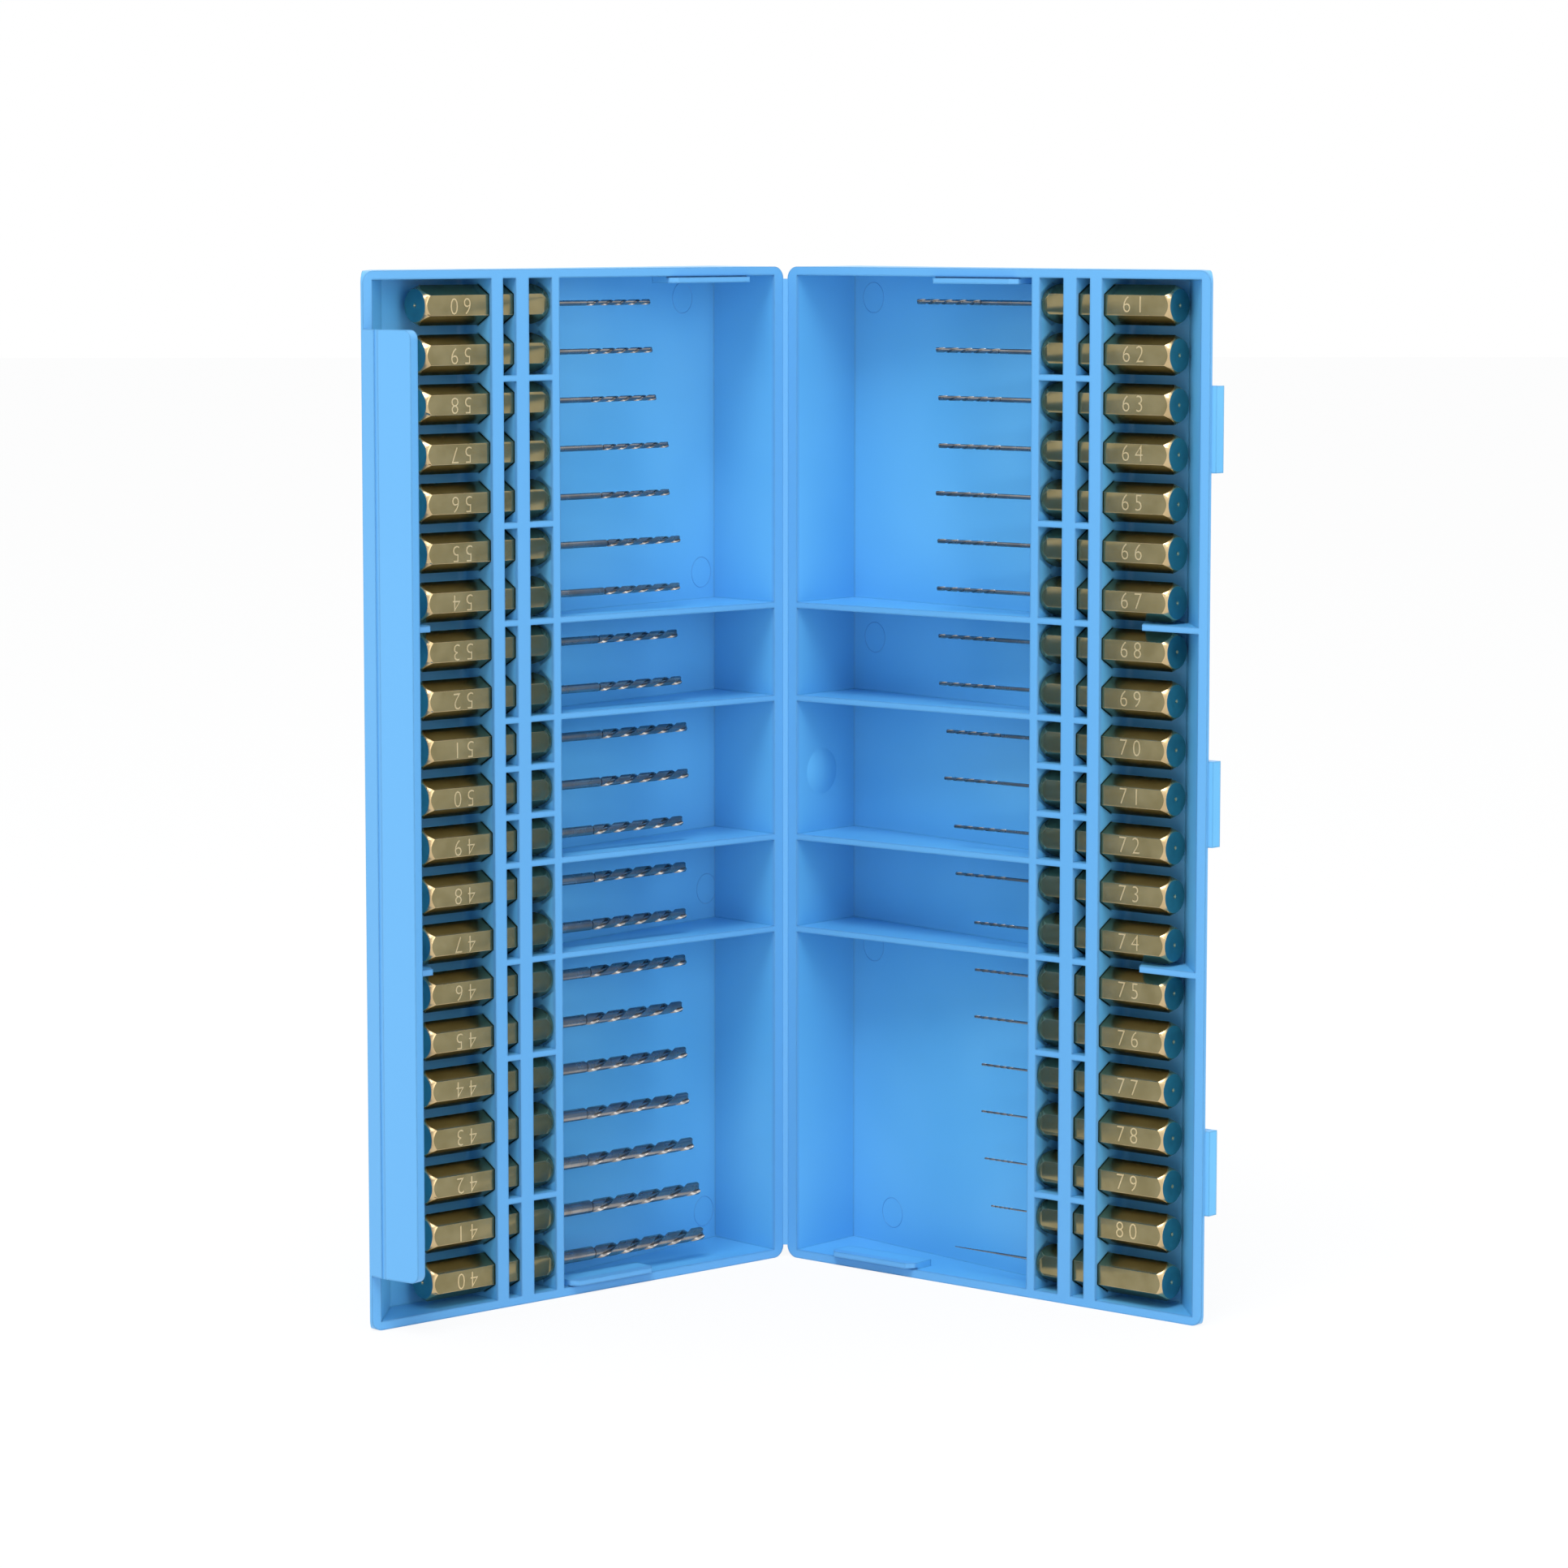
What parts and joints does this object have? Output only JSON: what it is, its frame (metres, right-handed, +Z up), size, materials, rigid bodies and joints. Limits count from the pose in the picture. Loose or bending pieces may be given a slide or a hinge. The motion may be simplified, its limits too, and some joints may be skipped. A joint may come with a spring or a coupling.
{
  "type": "drill bit case",
  "caption": "Folding moulded case standing open on its end, with rails of hex sockets that hold small drill bits by their hex shanks, and a hinged latch flap.",
  "frame": {"origin": "centre of the bounding box on the surface that the case stands on", "axes": "+Z up along the spine, spine at +Y, trays opening towards -Y, latch tray at -X"},
  "size_m": [0.153, 0.0874, 0.1905],
  "materials": {
    "blue_plastic": "moulded polypropylene, satin",
    "brass": "plated hex shanks with steel drills"
  },
  "bodies": {
    "latch_side": {"latch_tray": "blue_plastic", "spine_hinge_web": "blue_plastic", "latch_hinge_web": "blue_plastic", "bit_60": "brass", "bit_59": "brass", "bit_58": "brass", "bit_57": "brass", "bit_56": "brass", "bit_55": "brass", "bit_54": "brass", "bit_53": "brass", "bit_52": "brass", "bit_51": "brass", "bit_50": "brass", "bit_49": "brass", "bit_48": "brass", "bit_47": "brass", "bit_46": "brass", "bit_45": "brass", "bit_44": "brass", "bit_43": "brass", "bit_42": "brass", "bit_41": "brass", "bit_40": "brass"},
    "catch_side": {"catch_tray": "blue_plastic", "bit_61": "brass", "bit_62": "brass", "bit_63": "brass", "bit_64": "brass", "bit_65": "brass", "bit_66": "brass", "bit_67": "brass", "bit_68": "brass", "bit_69": "brass", "bit_70": "brass", "bit_71": "brass", "bit_72": "brass", "bit_73": "brass", "bit_74": "brass", "bit_75": "brass", "bit_76": "brass", "bit_77": "brass", "bit_78": "brass", "bit_79": "brass", "bit_80": "brass", "bit_needle": "brass"},
    "flap": {"latch_flap": "blue_plastic"}
  },
  "joints": [
    {"name": "tray_fold", "type": "hinge", "parent": "latch_side", "child": "catch_side", "pos_m": [-0.00038, 0.02962, 0.09525], "axis": [0, 0, 1], "range_deg": [-97.7, 82.3], "deforming": ["spine_hinge_web"]},
    {"name": "latch_flap", "type": "hinge", "parent": "latch_side", "child": "flap", "pos_m": [-0.07353, -0.03856, 0.09525], "axis": [0, 0, -1], "range_deg": [0, 90], "deforming": ["latch_hinge_web"]}
  ]
}
